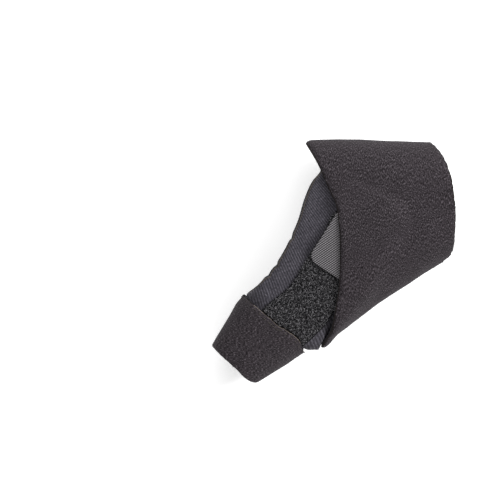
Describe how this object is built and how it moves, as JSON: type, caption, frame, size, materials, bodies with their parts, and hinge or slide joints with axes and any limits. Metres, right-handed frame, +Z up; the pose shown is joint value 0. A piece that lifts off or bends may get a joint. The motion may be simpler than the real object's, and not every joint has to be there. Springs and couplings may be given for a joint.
{
  "type": "wrist support brace",
  "caption": "Soft wrist and thumb support brace: a foam laminate wrap with a thumb sleeve, a hook tab on a pile patch and a wide strap wrapped over it.",
  "frame": {"origin": "middle of the footprint, on the surface that the palm side rests on", "axes": "+X towards the elbow, +Y towards the little finger, +Z up off the back of the hand; the brace is in the shape it has on a right hand"},
  "size_m": [0.1264, 0.1272, 0.0487],
  "materials": {
    "brushed_face": "warm charcoal brushed loop face of a foam laminate",
    "ribbed_jersey": "blue-black ribbed jersey face",
    "foam": "matt cut foam",
    "lining": "plain dark knit",
    "pile": "black loop pile",
    "tape": "grey woven tape",
    "hooks": "grey moulded hooks",
    "thread": "spun thread"
  },
  "bodies": {
    "brace": {"wrap_lining": "lining", "wrap_foam_core": "foam", "wrap_outer_face": "ribbed_jersey", "thumb_sleeve_lining": "lining", "thumb_sleeve_foam_core": "foam", "thumb_sleeve_outer_face": "brushed_face", "thumb_sleeve_seam": "thread", "thumb_pile_backing": "tape", "thumb_pile_loops": "pile", "hook_tab_tape": "tape", "hook_tab_hooks": "hooks"},
    "hook_tab_corner": {"hook_tab_corner_tape": "tape", "hook_tab_corner_hooks": "hooks"},
    "strap": {"strap_lining": "lining", "strap_foam_core": "foam", "strap_outer_face": "brushed_face", "strap_root_seam": "thread"},
    "strap_end": {"strap_end_lining": "lining", "strap_end_foam_core": "foam", "strap_end_outer_face": "brushed_face", "strap_end_hook_tape": "tape", "strap_end_hooks": "hooks"}
  },
  "joints": [
    {"name": "strap_lift", "type": "hinge", "parent": "brace", "child": "strap", "pos_m": [0.0309, -0.01822, 0.0136], "axis": [0.8243, 0.5657, 0.0244], "range_deg": [0, 100]},
    {"name": "strap_end_peel", "type": "hinge", "parent": "strap", "child": "strap_end", "pos_m": [0.0244, 0.03938, 0.0445], "axis": [0.9885, -0.0788, 0.1291], "range_deg": [0, 120]},
    {"name": "hook_tab_peel", "type": "hinge", "parent": "brace", "child": "hook_tab_corner", "pos_m": [0.0008, 0.00848, 0.04185], "axis": [0, 0.9988, 0.049], "range_deg": [0, 69]}
  ]
}
